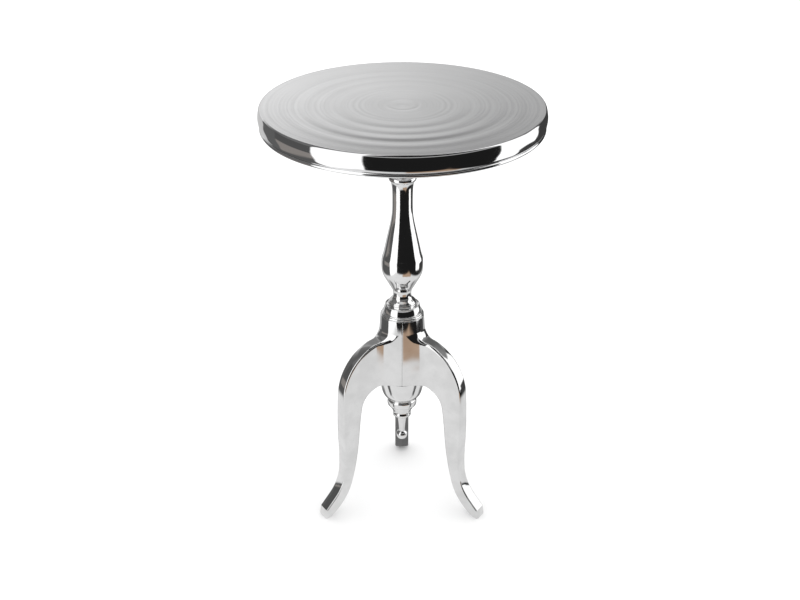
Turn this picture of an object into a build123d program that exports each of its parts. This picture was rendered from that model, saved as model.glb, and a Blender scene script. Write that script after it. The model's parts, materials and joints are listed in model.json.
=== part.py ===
"""Round occasional table of polished cast aluminium on a turned pedestal with three splayed legs.

Millimetres, +Z up. The origin is on the floor, on the axis of the pedestal. The front is -Y.
One threaded rod runs down the axis and clamps the pedestal together, from the flange under
the top to the pendant below the hub.
"""

from math import cos, radians, sin
import os

from build123d import *

# ---- driving dimensions ----
TABLE_HEIGHT = 600.0
TOP_RADIUS = 190.0
TOP_EDGE_RADIUS = 186.8
RIM_DEPTH = 29.5
TOP_PLATE = 5.0
RIM_INNER_RADIUS = 183.0

BOSS_RADIUS = 46.0
BOSS_DEPTH = 12.0
FLANGE_RADIUS = 44.0
FLANGE_THICKNESS = 8.0
FLANGE_SCREW_CIRCLE = 34.0
BOSS_RECESS_RADIUS = 12.0

SCREW_RADIUS = 2.5
SCREW_HEAD_RADIUS = 4.75
SCREW_LENGTH = 16.0
SCREW_RECESS = 0.4
SCREW_HOLE_DEPTH = 10.0

ROD_RADIUS = 4.0
ROD_BORE = 4.4
ROD_BOTTOM = 121.0
NUT_FLATS = 13.0
NUT_HEIGHT = 6.5
WASHER_THICKNESS = 1.6

LIP_TOP = 501.0
LIP_RADIUS = 19.0
NECK_JOINT = 326.0
NECK_RADIUS = 12.7
BELLY_RADIUS = 28.8
BELLY_HEIGHT = 371.0

HUB_TOP = 295.5
HUB_BOTTOM = 195.0
HUB_RADIUS = 31.4
HUB_TOP_RADIUS = 30.5
HUB_SHOULDER = 282.5
CORE_RADIUS = 17.0

LEG_ANGLES = {"leg_front_left": 210.0, "leg_front_right": 330.0, "leg_rear": 90.0}
LEG_WIDTH = 20.0
LEG_SECTOR = 120.0
LEG_ROOT = 24.0
LEG_ROOT_FILLET = 10.0
LEG_EDGE_RADIUS = 2.4
OUTER_ARCS = [(38, -18.5), (83, -59), (820, -6), (300, 6.5), (68, 37.5)]
INNER_ARCS = [(35.5, -70), (690, -3.5), (430, 9.5), (89, 46)]
TOE_LENGTH = 21.5
TOE_SLOPE = 0.16
TOE_EDGE_RADIUS = 1.2
BELOW_FLOOR = 3.0

PIN_RADIUS = 2.0
PIN_LENGTH = 16.0
PIN_CIRCLE = 23.0
CLAMP_PLATE_RADIUS = 26.0
CLAMP_PLATE_THICKNESS = 3.0

BOWL_BOTTOM = 160.0
COLLAR_BOTTOM = 130.5
BALL_RADIUS = 8.5
BALL_HEIGHT = 98.5

os.makedirs("parts", exist_ok=True)

top_underside = TABLE_HEIGHT - TOP_PLATE
boss_bottom = top_underside - BOSS_DEPTH
flange_bottom = boss_bottom - FLANGE_THICKNESS
rim_bottom = TABLE_HEIGHT - RIM_DEPTH


def finish_part(builder, label):
    """Name a finished piece and write it."""
    builder.part.label = label
    export_step(builder.part, f"parts/{label}.step")


# ---- table top: one casting, turned on top and at the rim, hollow below, with a boss ----
BEAD_RADIUS = 2.8
bead_centre = rim_bottom + BEAD_RADIUS
bead_reach = TOP_RADIUS - 4.4
groove_height = bead_centre + 2.9

with BuildPart() as table_top:
    with BuildSketch(Plane.XZ):
        with BuildLine():
            Line((0, top_underside), (0, TABLE_HEIGHT))
            Line((0, TABLE_HEIGHT), (TOP_EDGE_RADIUS, TABLE_HEIGHT))
            Spline(
                (TOP_EDGE_RADIUS, TABLE_HEIGHT),
                (TOP_RADIUS - 0.7, TABLE_HEIGHT - 5.5),
                (TOP_RADIUS, TABLE_HEIGHT - 12.0),
                (TOP_RADIUS - 0.8, TABLE_HEIGHT - 18.5),
                (TOP_RADIUS - 2.6, groove_height),
                tangents=[(1, -1.1), (-0.75, -1)],
            )
            Line((TOP_RADIUS - 2.6, groove_height), (bead_reach + 1.2, bead_centre + 2.53))
            ThreePointArc(
                (bead_reach + 1.2, bead_centre + 2.53),
                (bead_reach + BEAD_RADIUS, bead_centre),
                (bead_reach, rim_bottom),
            )
            Line((bead_reach, rim_bottom), (RIM_INNER_RADIUS, rim_bottom + 0.8))
            Line((RIM_INNER_RADIUS, rim_bottom + 0.8), (RIM_INNER_RADIUS, top_underside - 6))
            ThreePointArc(
                (RIM_INNER_RADIUS, top_underside - 6),
                (RIM_INNER_RADIUS - 6 * (1 - sin(radians(45))), top_underside - 6 * (1 - sin(radians(45)))),
                (RIM_INNER_RADIUS - 6, top_underside),
            )
            Line((RIM_INNER_RADIUS - 6, top_underside), (0, top_underside))
        make_face()
    revolve(axis=Axis.Z)
    with BuildSketch(Plane.XZ):
        with BuildLine():
            Polyline(
                (BOSS_RECESS_RADIUS, top_underside + 0.5),
                (BOSS_RADIUS + 5, top_underside + 0.5),
                (BOSS_RADIUS + 5, top_underside),
            )
            ThreePointArc(
                (BOSS_RADIUS + 5, top_underside),
                (BOSS_RADIUS + 1.5, top_underside - 1.5),
                (BOSS_RADIUS, top_underside - 5),
            )
            Polyline(
                (BOSS_RADIUS, top_underside - 5),
                (BOSS_RADIUS - 0.8, boss_bottom),
                (BOSS_RECESS_RADIUS, boss_bottom),
                (BOSS_RECESS_RADIUS, top_underside + 0.5),
            )
        make_face()
    revolve(axis=Axis.Z)
    with Locations((0, 0, boss_bottom)):
        with PolarLocations(FLANGE_SCREW_CIRCLE, 4, start_angle=45):
            Cylinder(
                SCREW_RADIUS,
                SCREW_HOLE_DEPTH,
                align=(Align.CENTER, Align.CENTER, Align.MIN),
                mode=Mode.SUBTRACT,
            )
finish_part(table_top, "table_top")

# ---- mounting flange under the boss, with countersunk screw holes from below ----
with BuildPart() as mounting_flange:
    with BuildSketch(Plane.XY.offset(flange_bottom)):
        Circle(FLANGE_RADIUS)
        Circle(ROD_BORE, mode=Mode.SUBTRACT)
    extrude(amount=FLANGE_THICKNESS)
    rim_edges = mounting_flange.faces().sort_by(Axis.Z)[0].outer_wire().edges()
    fillet(rim_edges, radius=2)
    with Locations(Location((0, 0, flange_bottom), (180, 0, 0))):
        with PolarLocations(FLANGE_SCREW_CIRCLE, 4, start_angle=45):
            CounterSinkHole(
                radius=SCREW_RADIUS + 0.25,
                counter_sink_radius=SCREW_HEAD_RADIUS + 0.45,
                depth=FLANGE_THICKNESS,
            )
finish_part(mounting_flange, "mounting_flange")

screw_bottom = flange_bottom + SCREW_RECESS
with BuildPart() as flange_screws:
    with Locations((0, 0, screw_bottom)):
        with PolarLocations(FLANGE_SCREW_CIRCLE, 4, start_angle=45):
            Cylinder(SCREW_RADIUS, SCREW_LENGTH, align=(Align.CENTER, Align.CENTER, Align.MIN))
            Cone(SCREW_HEAD_RADIUS, SCREW_RADIUS, 2.6, align=(Align.CENTER, Align.CENTER, Align.MIN))
    with BuildSketch(Plane.XY.offset(screw_bottom)):
        with PolarLocations(FLANGE_SCREW_CIRCLE, 4, start_angle=45):
            RegularPolygon(1.5, 6, major_radius=False)
    extrude(amount=1.8, mode=Mode.SUBTRACT)
finish_part(flange_screws, "flange_screws")

# ---- capital: trumpet between the flange and the shaft, with the lip that shows below the rim ----
CAPITAL_RADIUS = 32.0
with BuildPart() as capital:
    with BuildSketch(Plane.XZ):
        with BuildLine():
            Polyline(
                (ROD_BORE, LIP_TOP - 7),
                (LIP_RADIUS - 2.2, LIP_TOP - 7),
                (LIP_RADIUS - 0.6, LIP_TOP - 5.4),
            )
            ThreePointArc(
                (LIP_RADIUS - 0.6, LIP_TOP - 5.4),
                (LIP_RADIUS, LIP_TOP - 2.6),
                (LIP_RADIUS - 0.8, LIP_TOP),
            )
            Line((LIP_RADIUS - 0.8, LIP_TOP), (LIP_RADIUS - 3.6, LIP_TOP + 1.2))
            Spline(
                (LIP_RADIUS - 3.6, LIP_TOP + 1.2),
                (14.2, LIP_TOP + 16),
                (17.5, LIP_TOP + 42),
                (27.5, flange_bottom - 8),
                (CAPITAL_RADIUS, flange_bottom - 4),
                tangents=[(-0.6, 1), (1, 0.35)],
            )
            ThreePointArc(
                (CAPITAL_RADIUS, flange_bottom - 4),
                (CAPITAL_RADIUS + 1.2, flange_bottom - 2),
                (CAPITAL_RADIUS, flange_bottom),
            )
            Polyline(
                (CAPITAL_RADIUS, flange_bottom),
                (ROD_BORE, flange_bottom),
                (ROD_BORE, LIP_TOP - 7),
            )
        make_face()
    revolve(axis=Axis.Z)
finish_part(capital, "capital")

# ---- vase-shaped shaft, bored for the rod, with a spigot that enters the cap ----
SPIGOT_RADIUS = 8.5
SPIGOT_LENGTH = 8.0
shaft_top = LIP_TOP - 7
with BuildPart() as shaft:
    with BuildSketch(Plane.XZ):
        with BuildLine():
            Line((ROD_BORE, shaft_top), (16.8, shaft_top))
            Spline(
                (16.8, shaft_top),
                (14.3, shaft_top - 13),
                (14.0, shaft_top - 30),
                (14.6, 446),
                (18.7, 423),
                (23.9, 399),
                (27.0, 385.5),
                (BELLY_RADIUS, BELLY_HEIGHT),
                tangents=[(-0.5, -1), (0, -1)],
            )
            Spline(
                (BELLY_RADIUS, BELLY_HEIGHT),
                (27.3, 359),
                (21.2, 346.8),
                (15.0, 335.8),
                (NECK_RADIUS, NECK_JOINT),
                tangents=[(0, -1), (0, -1)],
            )
            Polyline(
                (NECK_RADIUS, NECK_JOINT),
                (SPIGOT_RADIUS, NECK_JOINT),
                (SPIGOT_RADIUS, NECK_JOINT - SPIGOT_LENGTH),
                (ROD_BORE, NECK_JOINT - SPIGOT_LENGTH),
                (ROD_BORE, shaft_top),
            )
        make_face()
    revolve(axis=Axis.Z)
finish_part(shaft, "shaft")

# ---- stepped cap: flared skirt, small band, ledge, bell band and outer ring, all turned ----
CAP_FOOT_RADIUS = 28.8
with BuildPart() as stepped_cap:
    with BuildSketch(Plane.XZ):
        with BuildLine():
            Line((SPIGOT_RADIUS, NECK_JOINT), (NECK_RADIUS, NECK_JOINT))
            Spline(
                (NECK_RADIUS, NECK_JOINT),
                (13.6, NECK_JOINT - 4.6),
                (18.2, NECK_JOINT - 9.6),
                tangents=[(0, -1), (0.8, -1)],
            )
            Polyline((18.2, NECK_JOINT - 9.6), (18.4, NECK_JOINT - 10.4))
            ThreePointArc((18.4, NECK_JOINT - 10.4), (19.5, NECK_JOINT - 12.4), (18.9, NECK_JOINT - 14.4))
            Line((18.9, NECK_JOINT - 14.4), (19.3, NECK_JOINT - 15.2))
            Spline(
                (19.3, NECK_JOINT - 15.2),
                (21.4, NECK_JOINT - 15.7),
                (23.3, NECK_JOINT - 15.2),
                tangents=[(1, -0.5), (1, 0.35)],
            )
            ThreePointArc((23.3, NECK_JOINT - 15.2), (24.1, NECK_JOINT - 15.7), (24.0, NECK_JOINT - 16.9))
            Spline(
                (24.0, NECK_JOINT - 16.9),
                (25.6, NECK_JOINT - 21.5),
                (26.3, NECK_JOINT - 25.6),
                tangents=[(0.55, -1), (0.02, -1)],
            )
            ThreePointArc((26.3, NECK_JOINT - 25.6), (27.6, NECK_JOINT - 25.8), (27.9, NECK_JOINT - 27.0))
            ThreePointArc(
                (27.9, NECK_JOINT - 27.0),
                (29.2, NECK_JOINT - 28.4),
                (CAP_FOOT_RADIUS, HUB_TOP),
            )
            Polyline(
                (CAP_FOOT_RADIUS, HUB_TOP),
                (ROD_BORE, HUB_TOP),
                (ROD_BORE, NECK_JOINT - SPIGOT_LENGTH),
                (SPIGOT_RADIUS, NECK_JOINT - SPIGOT_LENGTH),
                (SPIGOT_RADIUS, NECK_JOINT),
            )
        make_face()
    revolve(axis=Axis.Z)
    with Locations((0, 0, HUB_TOP)):
        with PolarLocations(PIN_CIRCLE, 3, start_angle=90):
            Cylinder(
                PIN_RADIUS,
                PIN_LENGTH / 2,
                align=(Align.CENTER, Align.CENTER, Align.MIN),
                mode=Mode.SUBTRACT,
            )
finish_part(stepped_cap, "stepped_cap")

# ---- hub core: bored round bar that the three leg castings close around ----
with BuildPart() as hub_core:
    with BuildSketch(Plane.XY.offset(HUB_BOTTOM)):
        Circle(CORE_RADIUS)
        Circle(ROD_BORE, mode=Mode.SUBTRACT)
    extrude(amount=HUB_TOP - HUB_BOTTOM)
    end_edges = hub_core.edges().filter_by(GeomType.CIRCLE).filter_by(lambda e: e.radius > ROD_BORE + 1)
    chamfer(end_edges, length=0.8)
finish_part(hub_core, "hub_core")


# ---- legs: each casting is a third of the hub shell with one cabriole leg ----
def radial_plane(angle):
    """Upright plane through the axis, its local x pointing outwards at the angle and y up."""
    return Plane(
        origin=(0, 0, 0),
        x_dir=(cos(radians(angle)), sin(radians(angle)), 0),
        z_dir=(sin(radians(angle)), -cos(radians(angle)), 0),
    )


def arc_chain(start, heading, turns):
    """Tangent arcs from a start point; each turn is a radius and an angle, left turns positive."""
    for radius, turn in turns:
        arc = JernArc(start, (cos(radians(heading)), sin(radians(heading))), radius, turn)
        start = arc @ 1
        heading += turn
    return start, (cos(radians(heading)), sin(radians(heading)))


def leg_outline():
    """Side view of one leg: outer curve to the toe, sloping toe face, inner curve to the hub."""
    shoulder, underside = (44.0, 262.8), (42.0, HUB_BOTTOM)
    root_top = (LEG_ROOT, shoulder[1] + 3.3)
    with BuildLine() as outline:
        Line(root_top, shoulder)
        ankle, outward = arc_chain(shoulder, -9.5, OUTER_ARCS)
        toe_top = (ankle.X + TOE_LENGTH * outward[0], ankle.Y + TOE_LENGTH * outward[1])
        toe_drop = toe_top[1] + BELOW_FLOOR
        toe_end = (toe_top[0] + TOE_SLOPE * toe_drop, -BELOW_FLOOR)
        Line(ankle, toe_top)
        Line(toe_top, toe_end)
        sole, _ = arc_chain(underside, -12.0, INNER_ARCS)
        Line(toe_end, sole)
        Polyline(underside, (LEG_ROOT, HUB_BOTTOM), root_top)
    return outline


def leg_casting(angle):
    """One leg with rounded edges, its third of the hub shell and a filleted root between them."""
    centre = radial_plane(angle)

    def place(edge):
        """Middle of an edge as distance from the axis, height and distance from the leg's middle."""
        middle = centre.to_local_coords(edge @ 0.5)
        return middle.X, middle.Y, abs(middle.Z)

    def on_side_arc(edge):
        return place(edge)[2] > LEG_WIDTH / 2 - 0.1 and edge.geom_type == GeomType.CIRCLE

    def at_toe(edge):
        return place(edge)[0] > 129 and place(edge)[1] < 14.5

    def at_root(edge):
        reach, height, side = place(edge)
        on_shell = abs((reach**2 + side**2) ** 0.5 - HUB_RADIUS) < 2.0 and side < LEG_WIDTH / 2 + 0.1
        return on_shell and HUB_BOTTOM + 1 < height < HUB_TOP - 5 and edge.geom_type != GeomType.CIRCLE

    with BuildPart() as leg:
        with BuildSketch(centre.offset(-LEG_WIDTH / 2)):
            add(leg_outline())
            make_face()
        extrude(amount=LEG_WIDTH)
        fillet(leg.edges().filter_by(on_side_arc), radius=LEG_EDGE_RADIUS)
        split(bisect_by=Plane.XY, keep=Keep.TOP)
        fillet(leg.edges().filter_by(at_toe), radius=TOE_EDGE_RADIUS)
        with BuildSketch(radial_plane(angle - LEG_SECTOR / 2)):
            with BuildLine():
                Polyline(
                    (CORE_RADIUS, HUB_BOTTOM),
                    (CORE_RADIUS, HUB_TOP),
                    (HUB_TOP_RADIUS, HUB_TOP),
                    (HUB_RADIUS, HUB_SHOULDER),
                    (HUB_RADIUS, HUB_BOTTOM),
                    close=True,
                )
            make_face()
        revolve(axis=Axis.Z, revolution_arc=LEG_SECTOR)
        fillet(leg.edges().filter_by(at_root), radius=LEG_ROOT_FILLET)
        with Locations((0, 0, HUB_TOP), (0, 0, HUB_BOTTOM)):
            with PolarLocations(PIN_CIRCLE, 3, start_angle=90):
                Cylinder(PIN_RADIUS, PIN_LENGTH, mode=Mode.SUBTRACT)
    return leg


for leg_name, leg_angle in LEG_ANGLES.items():
    finish_part(leg_casting(leg_angle), leg_name)

# ---- locating pins that key the leg castings to the cap above and to the clamp plate below ----
for pin_name, pin_height in (("upper_pins", HUB_TOP), ("lower_pins", HUB_BOTTOM)):
    with BuildPart() as pins:
        with Locations((0, 0, pin_height)):
            with PolarLocations(PIN_CIRCLE, 3, start_angle=90):
                Cylinder(PIN_RADIUS, PIN_LENGTH)
        chamfer(pins.edges().filter_by(GeomType.CIRCLE), length=0.4)
    finish_part(pins, pin_name)

# ---- lower clamp, hidden in the bowl: plate, spring washer and nut ----
plate_bottom = HUB_BOTTOM - CLAMP_PLATE_THICKNESS
with BuildPart() as clamp_plate:
    with BuildSketch(Plane.XY.offset(plate_bottom)):
        Circle(CLAMP_PLATE_RADIUS)
        Circle(ROD_BORE, mode=Mode.SUBTRACT)
        with PolarLocations(PIN_CIRCLE, 3, start_angle=90):
            Circle(PIN_RADIUS, mode=Mode.SUBTRACT)
    extrude(amount=CLAMP_PLATE_THICKNESS)
finish_part(clamp_plate, "clamp_plate")


def washer(bottom, outer_radius, thickness, gap_angle=0.0):
    """Round washer; a gap angle makes it the split ring of a spring washer."""
    with BuildPart() as ring:
        with BuildSketch(Plane.XY.offset(bottom)):
            Circle(outer_radius)
            Circle(ROD_RADIUS + 0.2, mode=Mode.SUBTRACT)
            if gap_angle:
                with Locations(Location((outer_radius / 2 + 1, 0), gap_angle)):
                    Rectangle(outer_radius, 1.2, mode=Mode.SUBTRACT)
        extrude(amount=thickness)
    return ring


def hexagon_nut(bottom):
    """Plain nut with its corners chamfered above and below."""
    with BuildPart() as nut:
        with BuildSketch(Plane.XY.offset(bottom)):
            RegularPolygon(NUT_FLATS / 2, 6, major_radius=False)
        extrude(amount=NUT_HEIGHT)
        with BuildSketch(Plane.XZ):
            with BuildLine():
                Polyline(
                    (0, bottom),
                    (NUT_FLATS / 2, bottom),
                    (NUT_FLATS / 2 + 1.2, bottom + 0.7),
                    (NUT_FLATS / 2 + 1.2, bottom + NUT_HEIGHT - 0.7),
                    (NUT_FLATS / 2, bottom + NUT_HEIGHT),
                    (0, bottom + NUT_HEIGHT),
                    close=True,
                )
            make_face()
        revolve(axis=Axis.Z, mode=Mode.INTERSECT)
        with Locations((0, 0, bottom)):
            Cylinder(ROD_RADIUS, 3 * NUT_HEIGHT, mode=Mode.SUBTRACT)
    return nut


SPRING_THICKNESS = 2.2
finish_part(washer(plate_bottom - SPRING_THICKNESS, 6.6, SPRING_THICKNESS, 20), "lower_spring_washer")
finish_part(hexagon_nut(plate_bottom - SPRING_THICKNESS - NUT_HEIGHT), "lower_nut")
finish_part(washer(boss_bottom, 8.0, WASHER_THICKNESS), "upper_washer")
finish_part(hexagon_nut(boss_bottom + WASHER_THICKNESS), "upper_nut")

# ---- threaded rod through the whole pedestal ----
rod_top = boss_bottom + WASHER_THICKNESS + NUT_HEIGHT + 2.0
with BuildPart() as tie_rod:
    with BuildSketch(Plane.XY.offset(ROD_BOTTOM)):
        Circle(ROD_RADIUS)
    extrude(amount=rod_top - ROD_BOTTOM)
    chamfer(tie_rod.edges().filter_by(GeomType.CIRCLE), length=0.8)
finish_part(tie_rod, "tie_rod")

# ---- bowl that closes the hub from below ----
with BuildPart() as bowl:
    with BuildSketch(Plane.XZ):
        with BuildLine():
            Line((27.0, HUB_BOTTOM), (HUB_RADIUS - 0.1, HUB_BOTTOM))
            Spline(
                (HUB_RADIUS - 0.1, HUB_BOTTOM),
                (29.2, 177.5),
                (25.4, 167.2),
                (20.2, BOWL_BOTTOM + 2.6),
                tangents=[(0, -1), (-1, -0.55)],
            )
            ThreePointArc((20.2, BOWL_BOTTOM + 2.6), (19.2, BOWL_BOTTOM + 1.4), (19.4, BOWL_BOTTOM))
            Polyline(
                (19.4, BOWL_BOTTOM),
                (ROD_BORE, BOWL_BOTTOM),
                (ROD_BORE, BOWL_BOTTOM + 6),
                (15, BOWL_BOTTOM + 7),
            )
            Spline(
                (15, BOWL_BOTTOM + 7),
                (24.0, 174.5),
                (27.0, HUB_BOTTOM - 5),
                tangents=[(1, 0.4), (0, 1)],
            )
            Line((27.0, HUB_BOTTOM - 5), (27.0, HUB_BOTTOM))
        make_face()
    revolve(axis=Axis.Z)
finish_part(bowl, "bowl")

# ---- pendant collar: rounded ring, stepped cone and second ring ----
with BuildPart() as pendant_collar:
    with BuildSketch(Plane.XZ):
        with BuildLine():
            Line((ROD_RADIUS, BOWL_BOTTOM), (19.2, BOWL_BOTTOM))
            Spline(
                (19.2, BOWL_BOTTOM),
                (20.8, 156.2),
                (20.4, 151.4),
                (18.4, 149.0),
                tangents=[(1, -0.5), (-1, -0.45)],
            )
            Polyline((18.4, 149.0), (17.4, 148.6))
            ThreePointArc((17.4, 148.6), (16.5, 146.9), (15.8, 144.9))
            Line((15.8, 144.9), (15.0, 144.5))
            ThreePointArc((15.0, 144.5), (14.2, 142.6), (13.3, 140.2))
            Line((13.3, 140.2), (12.3, 139.6))
            Spline(
                (12.3, 139.6),
                (12.5, 137.2),
                (13.2, 134.2),
                (11.4, 131.0),
                tangents=[(-0.25, -1), (-1, -0.5)],
            )
            Polyline(
                (11.4, 131.0),
                (9.4, COLLAR_BOTTOM),
                (ROD_RADIUS, COLLAR_BOTTOM),
                (ROD_RADIUS, BOWL_BOTTOM),
            )
        make_face()
    revolve(axis=Axis.Z)
finish_part(pendant_collar, "pendant_collar")

# ---- pendant drop: taper ending in a ball, screwed on the end of the rod ----
socket_top = ROD_BOTTOM - 1.0
neck_angle = radians(35)
ball_neck_radius = BALL_RADIUS * sin(neck_angle)
ball_neck_height = BALL_HEIGHT + BALL_RADIUS * cos(neck_angle)
with BuildPart() as pendant_drop:
    with BuildSketch(Plane.XZ):
        with BuildLine():
            Polyline(
                (0, socket_top),
                (ROD_RADIUS, socket_top),
                (ROD_RADIUS, COLLAR_BOTTOM),
                (8.2, COLLAR_BOTTOM),
            )
            Spline(
                (8.2, COLLAR_BOTTOM),
                (6.9, 125.5),
                (5.4, 115),
                (ball_neck_radius - 0.2, ball_neck_height + 1.6),
                tangents=[(-0.5, -1), (-0.1, -1)],
            )
            Line((ball_neck_radius - 0.2, ball_neck_height + 1.6), (ball_neck_radius, ball_neck_height))
            ThreePointArc(
                (ball_neck_radius, ball_neck_height),
                (BALL_RADIUS, BALL_HEIGHT),
                (0, BALL_HEIGHT - BALL_RADIUS),
            )
            Line((0, BALL_HEIGHT - BALL_RADIUS), (0, socket_top))
        make_face()
    revolve(axis=Axis.Z)
finish_part(pendant_drop, "pendant_drop")
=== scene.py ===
"""Looks of a round polished aluminium pedestal table: metal finishes, studio and camera.

Metres, +Z up, the floor at z = 0 and the front along -Y. Profiles are written in millimetres.
"""

import json
import math

import bpy
import numpy as np
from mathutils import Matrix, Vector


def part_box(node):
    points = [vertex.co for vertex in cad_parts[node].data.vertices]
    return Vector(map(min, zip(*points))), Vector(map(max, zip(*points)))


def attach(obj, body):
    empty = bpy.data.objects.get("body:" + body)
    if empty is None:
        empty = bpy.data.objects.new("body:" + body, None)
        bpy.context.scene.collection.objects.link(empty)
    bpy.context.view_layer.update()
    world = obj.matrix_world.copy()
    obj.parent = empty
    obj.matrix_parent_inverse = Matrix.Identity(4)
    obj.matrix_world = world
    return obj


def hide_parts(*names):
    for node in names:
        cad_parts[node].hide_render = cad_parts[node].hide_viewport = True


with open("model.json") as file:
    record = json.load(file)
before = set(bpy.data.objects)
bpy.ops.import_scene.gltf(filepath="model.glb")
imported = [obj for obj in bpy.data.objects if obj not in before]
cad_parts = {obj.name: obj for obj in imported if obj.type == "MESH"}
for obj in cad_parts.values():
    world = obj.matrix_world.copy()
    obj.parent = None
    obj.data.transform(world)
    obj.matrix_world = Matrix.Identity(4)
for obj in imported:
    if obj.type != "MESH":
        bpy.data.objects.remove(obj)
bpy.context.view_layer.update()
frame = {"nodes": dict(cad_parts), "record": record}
MM = 0.001


# ---- profiles: lists of (radius, height) in millimetres ----
def arc(start, middle, end, steps=10):
    """Points of the circular arc through three points."""
    (ax, ay), (bx, by), (cx, cy) = start, middle, end
    d = 2 * (ax * (by - cy) + bx * (cy - ay) + cx * (ay - by))
    a2, b2, c2 = ax * ax + ay * ay, bx * bx + by * by, cx * cx + cy * cy
    ux = (a2 * (by - cy) + b2 * (cy - ay) + c2 * (ay - by)) / d
    uy = (a2 * (cx - bx) + b2 * (ax - cx) + c2 * (bx - ax)) / d
    radius = math.hypot(ax - ux, ay - uy)
    first = math.atan2(ay - uy, ax - ux)
    sweep = (math.atan2(cy - uy, cx - ux) - first) % (2 * math.pi)
    to_middle = (math.atan2(by - uy, bx - ux) - first) % (2 * math.pi)
    if to_middle > sweep:
        sweep -= 2 * math.pi
    angles = [first + sweep * i / steps for i in range(steps + 1)]
    return [(ux + radius * math.cos(a), uy + radius * math.sin(a)) for a in angles]


def spline(points, start, end, steps=12):
    """Points of the smooth cubic spline through the points, with given end directions."""
    p = np.array(points, float)
    chord = np.hypot(*np.diff(p, axis=0).T)
    n = len(p)
    matrix = np.zeros((n, n))
    right = np.zeros((n, 2))
    matrix[0, 0] = matrix[-1, -1] = 1
    right[0] = np.array(start) / math.hypot(*start)
    right[-1] = np.array(end) / math.hypot(*end)
    for i in range(1, n - 1):
        before, after = chord[i - 1], chord[i]
        matrix[i, i - 1 : i + 2] = 1 / before, 2 * (1 / before + 1 / after), 1 / after
        right[i] = 3 * ((p[i] - p[i - 1]) / before**2 + (p[i + 1] - p[i]) / after**2)
    slope = np.linalg.solve(matrix, right)
    curve = [tuple(p[0])]
    for i in range(n - 1):
        for step in range(1, steps + 1):
            t = step / steps
            place = (
                (2 * t**3 - 3 * t**2 + 1) * p[i]
                + (t**3 - 2 * t**2 + t) * chord[i] * slope[i]
                + (3 * t**2 - 2 * t**3) * p[i + 1]
                + (t**3 - t**2) * chord[i] * slope[i + 1]
            )
            curve.append(tuple(place))
    return curve


def straight(start, end, steps):
    """Evenly spaced points from start to end."""
    return [
        (start[0] + (end[0] - start[0]) * i / steps, start[1] + (end[1] - start[1]) * i / steps)
        for i in range(steps + 1)
    ]


def lathe(name, profile, segments, sharp_angle=35):
    """Turned piece from a profile; a point on the axis becomes a pole, otherwise the profile closes."""
    points = [profile[0]]
    for point in profile[1:]:
        if math.dist(point, points[-1]) > 1e-3:
            points.append(point)
    if math.dist(points[0], points[-1]) < 1e-3:
        points.pop()
    vertices, rings = [], []
    turn = 2 * math.pi / segments
    for radius, height in points:
        count = 1 if radius < 1e-6 else segments
        rings.append(range(len(vertices), len(vertices) + count))
        for i in range(count):
            vertices.append(
                (radius * MM * math.sin(i * turn), -radius * MM * math.cos(i * turn), height * MM)
            )
    faces = []
    pairs = list(zip(rings, rings[1:]))
    if len(rings[0]) > 1 and len(rings[-1]) > 1:
        pairs.append((rings[-1], rings[0]))
    for lower, upper in pairs:
        for i in range(segments):
            j = (i + 1) % segments
            if len(lower) == 1:
                faces.append((lower[0], upper[j], upper[i]))
            elif len(upper) == 1:
                faces.append((lower[i], lower[j], upper[0]))
            else:
                faces.append((lower[i], lower[j], upper[j], upper[i]))
    mesh = bpy.data.meshes.new(name)
    mesh.from_pydata(vertices, [], faces)
    mesh.update()
    mesh.shade_smooth()
    mesh.set_sharp_from_angle(angle=math.radians(sharp_angle))
    piece = bpy.data.objects.new(name, mesh)
    bpy.context.scene.collection.objects.link(piece)
    return piece


# ---- table top: turned disc with faint rings left by the tool, bullnose rim and bead ----
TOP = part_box("table_top")[1].z / MM
RIM_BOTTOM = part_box("table_top")[0].z / MM
TOP_RADIUS = 190.0
EDGE_RADIUS = 186.8
UNDERSIDE = TOP - 5.0
INNER_RADIUS = 183.0
BEAD_RADIUS = 2.8
BOSS_BOTTOM = UNDERSIDE - 12.0
BOSS_RADIUS = 46.0
BOSS_RECESS_RADIUS = 12.0
CORNER_RADIUS = 6.0
FACE_DROP = 0.16
RING_DEPTH = 0.065
RINGS_AT = 118.0
RINGS_SPREAD = 42.0
CENTRE_RING = 21.0
RING_STEP = 0.75


def turned_face(radius):
    """Height of the top's face: lathe rings, strongest half-way out, and a small centre ring."""
    envelope = math.exp(-(((radius - RINGS_AT) / RINGS_SPREAD) ** 2))
    rings = RING_DEPTH * envelope * (math.cos(radius / 4.1) + 0.6 * math.cos(radius / 6.7 + 1.0))
    centre_ring = 0.05 * math.exp(-(((radius - CENTRE_RING) / 3.0) ** 2))
    centre_dimple = 0.04 * math.exp(-((radius / 5) ** 2))
    return TOP - FACE_DROP + rings - centre_ring - centre_dimple


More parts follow.
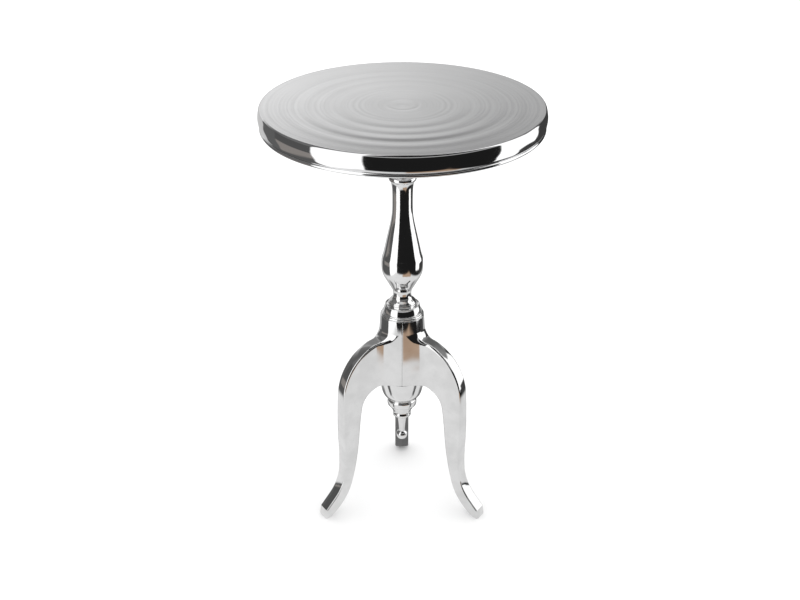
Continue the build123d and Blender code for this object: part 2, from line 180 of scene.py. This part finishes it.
def table_top():
    """Replacement for the CAD top: the same profile with the rings of turned_face on it."""
    rim = TOP_RADIUS
    bead = (rim - 4.4, RIM_BOTTOM + BEAD_RADIUS)
    groove = (rim - 2.6, bead[1] + 2.9)
    bead_top = (bead[0] + 1.2, bead[1] + 2.53)
    edge = (EDGE_RADIUS - 0.4, TOP - 0.12)
    profile = [(RING_STEP * i, turned_face(RING_STEP * i)) for i in range(248)]
    profile += spline([profile[-1], edge], (1, 0), (1, -0.12), 4)[1:]
    profile += spline(
        [
            edge,
            (rim - 0.9, TOP - 5.5),
            (rim - 0.05, TOP - 12.0),
            (rim - 0.8, TOP - 18.5),
            groove,
        ],
        (1, -0.35),
        (-0.75, -1),
        16,
    )[1:]
    profile += arc(groove, (rim - 3.3, groove[1] - 0.35), bead_top, 4)[1:]
    profile += arc(bead_top, (bead[0] + BEAD_RADIUS, bead[1]), (bead[0], RIM_BOTTOM), 14)[1:]
    corner = CORNER_RADIUS * (1 - math.sin(math.radians(45)))
    wall_top = (INNER_RADIUS, UNDERSIDE - CORNER_RADIUS)
    plate_end = (INNER_RADIUS - CORNER_RADIUS, UNDERSIDE)
    boss_foot = (BOSS_RADIUS + 5, UNDERSIDE)
    profile += [(INNER_RADIUS, RIM_BOTTOM + 0.8), wall_top]
    profile += arc(wall_top, (INNER_RADIUS - corner, UNDERSIDE - corner), plate_end, 6)[1:]
    profile += straight(plate_end, boss_foot, 20)[1:]
    profile += arc(boss_foot, (BOSS_RADIUS + 1.5, UNDERSIDE - 1.5), (BOSS_RADIUS, UNDERSIDE - 5), 6)[1:]
    profile += [(BOSS_RADIUS - 0.8, BOSS_BOTTOM), (BOSS_RECESS_RADIUS, BOSS_BOTTOM)]
    profile += [(BOSS_RECESS_RADIUS, UNDERSIDE), (0, UNDERSIDE)]
    return lathe("table_top_turned", profile[::-1], 384)


# ---- materials ----
class Nodes:
    """Short way to write a material's node tree."""

    def __init__(self, name):
        self.material = bpy.data.materials.new(name)
        self.material.use_nodes = True
        self.tree = self.material.node_tree
        self.tree.nodes.clear()
        self.shader = self.add("ShaderNodeBsdfPrincipled")
        output = self.add("ShaderNodeOutputMaterial")
        self.tree.links.new(self.shader.outputs["BSDF"], output.inputs["Surface"])

    def add(self, kind, settings=(), **inputs):
        node = self.tree.nodes.new(kind)
        for name, value in dict(settings).items():
            setattr(node, name, value)
        for name, value in inputs.items():
            key = int(name[1:]) if name[0] == "i" and name[1:].isdigit() else name.replace("_", " ")
            self.set(node.inputs[key], value)
        return node

    def set(self, socket, value):
        if isinstance(value, bpy.types.NodeSocket):
            self.tree.links.new(value, socket)
        else:
            socket.default_value = value

    def math(self, operation, a, b=0.0):
        return self.add("ShaderNodeMath", {"operation": operation}, i0=a, i1=b).outputs[0]

    def place(self):
        """Position on the object, in metres."""
        return self.add("ShaderNodeTexCoord").outputs["Object"]

    def split(self, vector):
        node = self.add("ShaderNodeSeparateXYZ", Vector=vector)
        return node.outputs[0], node.outputs[1], node.outputs[2]

    def radius(self, vector):
        """Distance from the table's axis."""
        x, y, _ = self.split(vector)
        squares = self.math("ADD", self.math("MULTIPLY", x, x), self.math("MULTIPLY", y, y))
        return self.math("SQRT", squares)

    def noise(self, vector, scale, detail=2.0, roughness=0.5):
        node = self.add("ShaderNodeTexNoise", Scale=scale, Detail=detail, Roughness=roughness)
        self.set(node.inputs["Vector"], vector)
        return node.outputs["Fac"]

    def line_noise(self, value, detail=2.0):
        """Noise along one number, for turned lines."""
        node = self.add("ShaderNodeTexNoise", {"noise_dimensions": "1D"}, Scale=1.0, Detail=detail)
        self.set(node.inputs["W"], value)
        return node.outputs["Fac"]

    def range(self, value, low, high, to_low, to_high):
        node = self.add("ShaderNodeMapRange")
        for index, number in enumerate((value, low, high, to_low, to_high)):
            self.set(node.inputs[index], number)
        return node.outputs[0]

    def mix(self, share, a, b):
        node = self.add("ShaderNodeMix", {"data_type": "RGBA"})
        self.set(node.inputs[0], share)
        self.set(node.inputs[6], a)
        self.set(node.inputs[7], b)
        return node.outputs[2]

    def bump(self, height, distance, normal=None):
        node = self.add("ShaderNodeBump", Height=height, Distance=distance, Strength=1.0)
        if normal is not None:
            self.set(node.inputs["Normal"], normal)
        return node.outputs["Normal"]

    def finish(self, **inputs):
        for name, value in inputs.items():
            self.set(self.shader.inputs[name.replace("_", " ")], value)
        return self.material


def spun_top():
    """Satin turned face with fine concentric lines; the rim beyond the edge is mirror bright."""
    n = Nodes("aluminium_top_and_rim")
    place = n.place()
    radius = n.radius(place)
    _, _, height = n.split(place)
    rim = n.range(radius, 0.1862, 0.1869, 0.0, 1.0)
    fine = n.line_noise(n.math("MULTIPLY", n.math("ADD", radius, height), 2600.0))
    broad = n.line_noise(n.math("MULTIPLY", radius, 240.0))
    cloud = n.noise(place, 9.0, 3.0)
    satin = n.math("ADD", n.range(cloud, 0.3, 0.7, 0.12, 0.16), n.range(broad, 0.3, 0.7, -0.02, 0.02))
    rough = n.add("ShaderNodeMix", {"data_type": "FLOAT"})
    n.set(rough.inputs[0], rim)
    n.set(rough.inputs[2], satin)
    n.set(rough.inputs[3], n.range(n.noise(place, 30.0), 0.3, 0.7, 0.04, 0.075))
    tone = n.mix(n.range(fine, 0.3, 0.7, 0.0, 1.0), (0.80, 0.80, 0.805, 1), (0.86, 0.86, 0.865, 1))
    depth = n.math("MULTIPLY", fine, n.range(rim, 0.0, 1.0, 1.0, 0.15))
    tangent = n.add("ShaderNodeTangent", {"direction_type": "RADIAL", "axis": "Z"})
    return n.finish(
        Base_Color=tone,
        Metallic=1.0,
        Roughness=rough.outputs[0],
        Anisotropic=0.35,
        Tangent=tangent.outputs[0],
        Normal=n.bump(depth, 4e-6),
    )


def turned_metal():
    """Mirror-polished turned aluminium with faint lathe lines and hand-buffed haze."""
    n = Nodes("aluminium_turned_bright")
    place = n.place()
    _, _, height = n.split(place)
    along = n.math("ADD", height, n.math("MULTIPLY", n.radius(place), 0.8))
    lines = n.line_noise(n.math("MULTIPLY", along, 2200.0))
    haze = n.noise(place, 60.0, 3.0)
    tone = n.mix(n.range(haze, 0.35, 0.65, 0.0, 1.0), (0.84, 0.84, 0.84, 1), (0.90, 0.90, 0.90, 1))
    return n.finish(
        Base_Color=tone,
        Metallic=1.0,
        Roughness=n.range(haze, 0.3, 0.7, 0.05, 0.10),
        Normal=n.bump(lines, 2.5e-6),
    )


def cast_metal():
    """Buffed casting: slightly wavy faces and fine scratches."""
    n = Nodes("aluminium_cast_bright")
    place = n.place()
    waves = n.noise(place, 28.0, 1.0)
    stretched = n.add("ShaderNodeMapping", Vector=place, Scale=(900.0, 900.0, 60.0))
    scratches = n.noise(stretched.outputs[0], 1.0, 2.0)
    haze = n.noise(place, 45.0, 3.0)
    tone = n.mix(n.range(haze, 0.35, 0.65, 0.0, 1.0), (0.80, 0.80, 0.80, 1), (0.88, 0.88, 0.88, 1))
    wavy = n.bump(waves, 4e-4)
    return n.finish(
        Base_Color=tone,
        Metallic=1.0,
        Roughness=n.range(haze, 0.3, 0.7, 0.05, 0.09),
        Normal=n.bump(scratches, 3e-6, wavy),
    )


def zinc_steel():
    """Zinc-plated steel hardware with a crystalline grey bloom."""
    n = Nodes("steel_zinc_plated")
    place = n.place()
    bloom = n.noise(place, 700.0, 3.0)
    tone = n.mix(n.range(bloom, 0.35, 0.65, 0.0, 1.0), (0.50, 0.51, 0.51, 1), (0.66, 0.66, 0.64, 1))
    return n.finish(
        Base_Color=tone,
        Metallic=1.0,
        Roughness=n.range(bloom, 0.3, 0.7, 0.26, 0.42),
        Normal=n.bump(bloom, 6e-6),
    )


finishes = {
    "aluminium_spun_top": spun_top(),
    "aluminium_turned": turned_metal(),
    "aluminium_polished": cast_metal(),
    "steel_zinc": zinc_steel(),
}
slots = {part["node"]: part["material_slot"] for part in frame["record"]["subparts"]}
for node_name, cad_object in frame["nodes"].items():
    for material_slot in cad_object.material_slots:
        material_slot.material = finishes[slots[node_name]]


def keep(piece, node_name):
    """The piece stands for a CAD node and takes its finish."""
    piece.data.materials.append(finishes[slots[node_name]])
    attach(piece, "root")
    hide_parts(node_name)


keep(table_top(), "table_top")


# ---- leg castings: a third of the hub with one cabriole leg, meshed from a distance field ----
LEG_ANGLES = {"leg_front_left": 210.0, "leg_front_right": 330.0, "leg_rear": 90.0}
HUB_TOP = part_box("leg_rear")[1].z / MM
HUB_BOTTOM = 195.0
HUB_RADIUS = 31.4
HUB_TOP_RADIUS = 30.5
CORE_RADIUS = 17.0
LEG_HALF_WIDTH = 10.0
ROOT_FILLET = 17.0
SHOULDER, SHOULDER_HEADING = (44.0, 262.8), -9.5
OUTER_ARCS = [(38, -18.5), (83, -59), (820, -6), (300, 6.5), (68, 37.5)]
ARCH, ARCH_HEADING = (42.0, HUB_BOTTOM), -12.0
INNER_ARCS = [(35.5, -70), (690, -3.5), (430, 9.5), (89, 46)]
FLARE_ARCS = [(14.6, -76.5)]
TOE_LENGTH = 21.5
TOE_SLOPE = 0.16
BELOW_FLOOR = 3.0
HALF_SECTOR = math.radians(60)
LEG_EDGE = 2.1
ROOT_EDGE = 4.3
ARCH_EDGE = 0.8
RIDGE_EDGE = 0.6
FOOT_EDGE = 0.8
SEAM_EDGE = 0.03
CROWN = 0.5
WAVE_DEPTH = 0.035
CELL = 1.0
NORMAL_STEP = 0.12
OUTER_BAND = 0.1


def arc_chain(start, heading, turns):
    """Tangent arcs as (centre, radius, first angle, sweep), then the end point and heading."""
    arcs = []
    for radius, turn in turns:
        side = math.copysign(1, turn)
        a = math.radians(heading)
        centre = (start[0] - side * radius * math.sin(a), start[1] + side * radius * math.cos(a))
        first = math.atan2(start[1] - centre[1], start[0] - centre[0])
        sweep = math.radians(turn)
        arcs.append((centre, radius, first, sweep))
        end = first + sweep
        start = (centre[0] + radius * math.cos(end), centre[1] + radius * math.sin(end))
        heading += turn
    return arcs, start, heading


def leg_outline():
    """Arcs, straight lines and a closed polygon of the side view of a leg with its part of the hub."""
    outer, ankle, outward = arc_chain(SHOULDER, SHOULDER_HEADING, OUTER_ARCS)
    inner, sole, _ = arc_chain(ARCH, ARCH_HEADING, INNER_ARCS)
    flare, neck, _ = arc_chain(SHOULDER, 180 + SHOULDER_HEADING, FLARE_ARCS)
    a = math.radians(outward)
    toe_top = (ankle[0] + TOE_LENGTH * math.cos(a), ankle[1] + TOE_LENGTH * math.sin(a))
    toe_drop = toe_top[1] + BELOW_FLOOR
    toe_end = (toe_top[0] + TOE_SLOPE * toe_drop, -BELOW_FLOOR)
    inner_radius = CORE_RADIUS - 8
    corners = [(HUB_TOP_RADIUS, HUB_TOP), (inner_radius, HUB_TOP), (inner_radius, HUB_BOTTOM), ARCH]
    lines = [(ankle, toe_top), (toe_top, toe_end), (toe_end, sole), (neck, corners[0])]
    lines += list(zip(corners, corners[1:]))

    def walk(arcs, steps=60):
        for centre, radius, first, sweep in arcs:
            for i in range(steps):
                angle = first + sweep * i / steps
                yield centre[0] + radius * math.cos(angle), centre[1] + radius * math.sin(angle)

    polygon = list(walk(outer)) + [ankle, toe_top, toe_end, sole]
    polygon += list(walk(inner))[::-1]
    polygon += corners[::-1][1:] + [neck] + list(walk(flare))[::-1]
    return outer + inner + flare, lines, np.array(polygon)


OUTLINE_ARCS, OUTLINE_LINES, OUTLINE_POLYGON = leg_outline()


def outline_distance(x, z):
    """Signed distance from the leg's side view, negative inside."""
    best = np.full(x.shape, 1e9)
    for (cx, cz), radius, first, sweep in OUTLINE_ARCS:
        dx, dz = x - cx, z - cz
        along = (np.arctan2(dz, dx) - first) * math.copysign(1, sweep) % (2 * math.pi)
        gap = np.abs(np.hypot(dx, dz) - radius)
        best = np.where(along <= abs(sweep), np.minimum(best, gap), best)
    for (ax, az), (bx, bz) in OUTLINE_LINES:
        ux, uz = bx - ax, bz - az
        t = np.clip(((x - ax) * ux + (z - az) * uz) / (ux * ux + uz * uz), 0, 1)
        best = np.minimum(best, np.hypot(x - ax - t * ux, z - az - t * uz))
    inside = np.zeros(x.shape, bool)
    p, q = OUTLINE_POLYGON, np.roll(OUTLINE_POLYGON, -1, axis=0)
    for (ax, az), (bx, bz) in zip(p, q):
        if az != bz:
            crosses = ((az > z) != (bz > z)) & (x < (bx - ax) * (z - az) / (bz - az) + ax)
            inside ^= crosses
    return np.where(inside, -best, best)


def round_max(a, b, radius):
    """Intersection of two fields with its edge rounded."""
    corner = np.hypot(np.maximum(a + radius, 0), np.maximum(b + radius, 0))
    return np.minimum(np.maximum(a, b), -radius) + corner


def round_min(a, b, radius):
    """Union of two fields with its corner filleted."""
    corner = np.hypot(np.maximum(radius - a, 0), np.maximum(radius - b, 0))
    return np.maximum(np.minimum(a, b), radius) - corner


def smooth(low, high, value):
    """Smooth rise of an array from 0 at low to 1 at high."""
    t = np.clip((value - low) / (high - low), 0, 1)
    return t * t * (3 - 2 * t)


def leg_field(p, side_view, cut=True):
    """Distance field of one casting in its own frame: x outwards, y across, z up, millimetres.

    Without the cut the casting isn't ended at the seams with its neighbours.
    """
    x, y, z = p
    reach = np.hypot(x, y)
    far = smooth(48, 80, x)
    crown = CROWN * smooth(42, 66, reach) * (y / LEG_HALF_WIDTH) ** 2
    profile = side_view(reach * (1 - far) + x * far, z) + crown
    star = round_min(np.abs(y) - LEG_HALF_WIDTH, reach - HUB_RADIUS, ROOT_FILLET)
    near_hub = 1 - smooth(34, 78, reach)
    between_legs = smooth(0.5, 0.8, np.abs(y) / reach)
    edge = LEG_EDGE + near_hub * (ROOT_EDGE - LEG_EDGE) * smooth(225, 255, z)
    edge += near_hub * (ARCH_EDGE - LEG_EDGE) * (1 - smooth(196, 206, z))
    edge += (RIDGE_EDGE - edge) * between_legs
    body = round_max(star, profile, edge)
    body = np.maximum(body, CORE_RADIUS - reach)
    if cut:
        wedge = np.abs(y) * math.cos(HALF_SECTOR) - x * math.sin(HALF_SECTOR)
        body = round_max(body, wedge, SEAM_EDGE)
    body = round_max(body, -z, FOOT_EDGE)
    wave = np.sin(x / 9 + 1) * np.sin(z / 13) + 0.6 * np.sin((x + z) / 7.1) * np.cos(y / 6 + z / 17)
    return body + WAVE_DEPTH * wave * smooth(33, 45, reach)


def surface_net(field, low, high, cell):
    """Vertices and quads round the zero level of a field sampled on a grid."""
    axes = [np.arange(a, b + cell, cell) for a, b in zip(low, high)]
    grid = field(np.meshgrid(*axes, indexing="ij"))
    inside = grid < 0
    shape = [n - 1 for n in grid.shape]
    total, count = np.zeros((*shape, 3)), np.zeros(shape)

    def part(array, offset):
        return array[tuple(slice(o, o + n) for o, n in zip(offset, shape))]

    for axis in range(3):
        others = [k for k in range(3) if k != axis]
        for i in (0, 1):
            for j in (0, 1):
                start = [0, 0, 0]
                start[others[0]], start[others[1]] = i, j
                end = list(start)
                end[axis] = 1
                a, b = part(grid, start), part(grid, end)
                cut = part(inside, start) != part(inside, end)
                place = np.where(cut, a / np.where(cut, a - b, 1), 0)
                for k in range(3):
                    total[..., k] += np.where(cut, place if k == axis else start[k], 0)
                count += cut
    used = count > 0
    index = np.full(shape, -1)
    index[used] = np.arange(used.sum())
    corner = np.stack(np.nonzero(used), axis=1)
    vertices = np.array(low) + cell * (corner + total[used] / count[used][:, None])
    faces = []
    for axis in range(3):
        u, v = (axis + 1) % 3, (axis + 2) % 3
        span = [slice(1, n) for n in shape]
        span[axis] = slice(0, shape[axis])
        shifted = list(span)
        shifted[axis] = slice(1, shape[axis] + 1)
        a, b = inside[tuple(span)], inside[tuple(shifted)]
        base = np.stack(np.nonzero(a != b), axis=1)
        flip = b[tuple(base.T)]
        for k in range(3):
            if k != axis:
                base[:, k] += 1
        ring = []
        for du, dv in ((-1, -1), (0, -1), (0, 0), (-1, 0)):
            cellular = base.copy()
            cellular[:, u] += du
            cellular[:, v] += dv
            ring.append(index[tuple(cellular.T)])
        quads = np.stack(ring, axis=1)
        quads[flip] = quads[flip][:, ::-1]
        faces.append(quads)
    return vertices, np.concatenate(faces)


def gradient(field, points, gap=0.04):
    """Direction in which a field grows, by central differences."""
    slopes = []
    for k in range(3):
        shift = np.zeros((3, 1))
        shift[k] = gap
        slopes.append((field(points + shift) - field(points - shift)) / (2 * gap))
    return np.array(slopes)


def leg_castings():
    """Three castings from one mesh, turned about the axis."""
    step = 0.5
    xs, zs = np.arange(0, 150, step), np.arange(-6, 304, step)
    table = outline_distance(*np.meshgrid(xs, zs, indexing="ij"))

    def rough_view(x, z):
        i = np.clip((x / step).astype(int), 0, len(xs) - 2)
        k = np.clip(((z + 6) / step).astype(int), 0, len(zs) - 2)
        s, t = x / step - i, (z + 6) / step - k
        low = table[i, k] * (1 - s) + table[i + 1, k] * s
        return low * (1 - t) + (table[i, k + 1] * (1 - s) + table[i + 1, k + 1] * s) * t

    low, high = (13.0, -30.0, -2.0), (137.0, 30.0, HUB_TOP + 2)
    vertices, faces = surface_net(lambda p: leg_field(p, rough_view), low, high, CELL)
    points = vertices.T
    for _ in range(3):
        slope = gradient(lambda p: leg_field(p, outline_distance), points)
        push = leg_field(points, outline_distance) / np.maximum((slope**2).sum(0), 0.25)
        points = points - np.clip(push, -0.6, 0.6) * slope
    slope = gradient(lambda p: leg_field(p, outline_distance), points, NORMAL_STEP)
    uncut = gradient(lambda p: leg_field(p, outline_distance, False), points, NORMAL_STEP)
    outside = np.abs(leg_field(points, outline_distance, False)) < OUTER_BAND
    slope = np.where(outside, uncut, slope)
    normals = slope / np.maximum(np.linalg.norm(slope, axis=0), 1e-9)
    for node_name, angle in LEG_ANGLES.items():
        a = math.radians(angle)
        turn = np.array([[math.cos(a), -math.sin(a), 0], [math.sin(a), math.cos(a), 0], [0, 0, 1]])
        mesh = bpy.data.meshes.new(node_name + "_casting")
        mesh.from_pydata((turn @ points * MM).T.tolist(), [], faces.tolist())
        mesh.update()
        mesh.shade_smooth()
        mesh.normals_split_custom_set_from_vertices((turn @ normals).T.tolist())
        casting = bpy.data.objects.new(node_name + "_casting", mesh)
        bpy.context.scene.collection.objects.link(casting)
        keep(casting, node_name)


leg_castings()


# ---- studio: white floor and world, and a surround that only shows in reflections ----
BLACK, DARK, DIM, GREY, PALE, WHITE = 0.012, 0.05, 0.12, 0.60, 0.80, 1.3
BROWN = (0.27, 0.25, 0.235)
BOARD = (0.44, 0.31, 0.22)
WINDOW = 0.45
FRONT = [(-30, WHITE), (77, BLACK)]
NEAR_FLOOR = [(-139, GREY), (-72, 0.10), (-30, WHITE), (103, BLACK), (154, DARK), (180, GREY)]
MIDDLE_FLOOR = [(-139, GREY), (-72, 0.10), *FRONT, (103, WHITE), (154, DARK), (180, GREY)]
FAR_FLOOR = [(-134, GREY), (-112, DIM), (-71, BROWN), *FRONT, (125, WHITE), (180, DARK)]
LOW_WALL = [(-134, GREY), (-112, DIM), (-71, 0.09), *FRONT, (125, WHITE), (180, DARK)]
HIGH_WALL = [(-134, 0.55), (-112, DIM), (-71, 0.16), *FRONT, (112, WHITE), (150, 0.25), (180, 0.42)]
SHEET_HALF_WIDTH = 0.47
SHEET_FRONT = 0.66
SHEET_BLUR = 0.07
STRIP_START = 0.80
STRIP_END = 1.00
RING_BLUR = 0.05
WALL_RADIUS = 2.6
SURROUND = (
    [(0.04 * i, 0.0015) for i in range(40)]
    + [(1.65 + 0.19 * i, 0.0015) for i in range(5)]
    + [(WALL_RADIUS, 0.1 + 0.1 * i) for i in range(30)]
    + [(WALL_RADIUS, 3.4), (2.5, 4.2), (2.1, 5.2), (1.2, 6.0), (0.0, 6.4)]
)
AZIMUTH_STEP = 1.5


def step(low, high, value):
    """Smooth rise from 0 at low to 1 at high."""
    t = min(1.0, max(0.0, (value - low) / (high - low)))
    return t * t * (3 - 2 * t)


def tone_at(sectors, azimuth):
    """Light of the sector that an azimuth lies in; each sector is (end azimuth, light)."""
    for end, light in sectors:
        if azimuth <= end:
            return np.array(light if isinstance(light, tuple) else (light,) * 3, float)
    return np.array((sectors[0][1],) * 3, float)


def soft_edge(edge, blur, value):
    """Rise from 0 to 1 across an edge."""
    return step(edge - blur, edge + blur, value)


def blend(share, a, b):
    """Mixture of two lights."""
    return (1 - share) * a + share * b


def sheet_light(azimuth, radius):
    """White sheet under the table, shaded behind and close to the feet, with a board in front."""
    behind = step(115, 150, abs(azimuth))
    under_table = (1 - step(0.24, 0.33, radius)) * step(108, 122, abs(azimuth))
    sheet = (PALE - 0.05 * step(-60, 60, azimuth) - 0.30 * behind) * (1 - 0.7 * under_table)
    board = step(1, 4, azimuth) * (1 - step(47, 52, azimuth)) * step(0.44, 0.48, radius)
    return blend(board, sheet * np.ones(3), np.array(BOARD))


def floor_light(azimuth, radius):
    """Sheet, a ring of sectors round it, a second ring, then the far floor."""
    a = math.radians(azimuth)
    off_side = soft_edge(SHEET_HALF_WIDTH, SHEET_BLUR, abs(radius * math.sin(a)))
    off_front = soft_edge(SHEET_FRONT, SHEET_BLUR, radius * math.cos(a))
    ring = soft_edge(STRIP_START, RING_BLUR, radius)
    rings = blend(ring, tone_at(NEAR_FLOOR, azimuth), tone_at(MIDDLE_FLOOR, azimuth))
    light = blend(max(off_side, off_front), sheet_light(azimuth, radius), rings)
    far_from = STRIP_END + 0.30 * step(95, 115, azimuth)
    return blend(soft_edge(far_from, RING_BLUR, radius), light, tone_at(FAR_FLOOR, azimuth))


def wall_light(azimuth, radius, height):
    """Low and high sectors, a window in front, and a bright wall behind that ends below a shade."""
    light_top = 1.0 + 0.5 * (step(60, 100, azimuth) - step(130, 150, azimuth))
    high = step(light_top, light_top + 0.2, height)
    light = blend(high, tone_at(LOW_WALL, azimuth), tone_at(HIGH_WALL, azimuth))
    in_front = step(-32, -28, azimuth) * (1 - step(75, 79, azimuth))
    window = step(1.15, 1.25, height) * (1 - step(1.75, 1.85, height))
    light = blend(in_front * window, light, WINDOW * np.ones(3))
    behind = step(115, 150, abs(azimuth))
    back = 0.92 - 0.42 * step(-0.6, 0.6, radius * math.sin(math.radians(azimuth)))
    shade = 1 - 0.75 * step(1.58, 1.68, height)
    return blend(behind * high, light, back * shade * np.ones(3))


def studio_light(azimuth, radius, height):
    """Light that the surround sends back, by azimuth from the front, distance and height."""
    if height < 0.01:
        return floor_light(azimuth, radius)
    return wall_light(azimuth, radius, height)


def surround():
    """Dome of light and dark sectors round the table, seen only by reflections."""
    count = int(360 / AZIMUTH_STEP)
    vertices, colours, faces = [], [], []
    for radius, height in SURROUND:
        for i in range(count + 1):
            azimuth = -180 + i * AZIMUTH_STEP
            a = math.radians(azimuth)
            vertices.append((radius * math.sin(a), -radius * math.cos(a), height))
            colours.extend((*studio_light(azimuth, radius, height), 1.0))
    row = count + 1
    for k in range(len(SURROUND) - 1):
        for i in range(count):
            faces.append((k * row + i, k * row + i + 1, (k + 1) * row + i + 1, (k + 1) * row + i))
    mesh = bpy.data.meshes.new("surround")
    mesh.from_pydata(vertices, [], faces)
    mesh.attributes.new("light", "FLOAT_COLOR", "POINT").data.foreach_set("color", colours)
    material = bpy.data.materials.new("surround_light")
    material.use_nodes = True
    tree = material.node_tree
    tree.nodes.clear()
    attribute = tree.nodes.new("ShaderNodeAttribute")
    attribute.attribute_name = "light"
    light = tree.nodes.new("ShaderNodeEmission")
    output = tree.nodes.new("ShaderNodeOutputMaterial")
    tree.links.new(attribute.outputs["Color"], light.inputs["Color"])
    tree.links.new(light.outputs[0], output.inputs["Surface"])
    mesh.materials.append(material)
    dome = bpy.data.objects.new("surround", mesh)
    bpy.context.scene.collection.objects.link(dome)
    dome.visible_camera = False
    dome.visible_diffuse = False
    dome.visible_shadow = False
    dome.visible_transmission = False


surround()

FLOOR_SIZE = 14.0
floor_mesh = bpy.data.meshes.new("floor")
floor_mesh.from_pydata(
    [(x * FLOOR_SIZE, y * FLOOR_SIZE, 0) for x, y in ((-1, -1), (1, -1), (1, 1), (-1, 1))],
    [],
    [(0, 1, 2, 3)],
)
floor = bpy.data.objects.new("floor", floor_mesh)
bpy.context.scene.collection.objects.link(floor)
paper = Nodes("white_paper")
paper_tone = paper.mix(paper.noise(paper.place(), 3.0), (0.90, 0.90, 0.90, 1), (0.93, 0.93, 0.93, 1))
floor_mesh.materials.append(paper.finish(Base_Color=paper_tone, Roughness=0.9, Specular_IOR_Level=0.0))

WORLD_STRENGTH = 1.35
world = bpy.data.worlds.new("studio")
world.use_nodes = True
sky = world.node_tree.nodes["Background"]
sky.inputs["Color"].default_value = (1, 1, 1, 1)
sky.inputs["Strength"].default_value = WORLD_STRENGTH
bpy.context.scene.world = world
bpy.context.scene.view_settings.view_transform = "Standard"

# ---- camera ----
CAMERA_PLACE = (-0.0031, -1.8478, 1.2276)
CAMERA_PITCH = 26.273
CAMERA_ROLL = 0.1
SENSOR_WIDTH = 36.0
FOCAL_LENGTH = 66.67
camera_data = bpy.data.cameras.new("camera")
camera_data.sensor_width = SENSOR_WIDTH
camera_data.lens = FOCAL_LENGTH
camera = bpy.data.objects.new("camera", camera_data)
camera.location = CAMERA_PLACE
camera.rotation_mode = "ZYX"
camera.rotation_euler = (math.radians(90 - CAMERA_PITCH), 0, math.radians(CAMERA_ROLL))
bpy.context.scene.collection.objects.link(camera)
bpy.context.scene.camera = camera
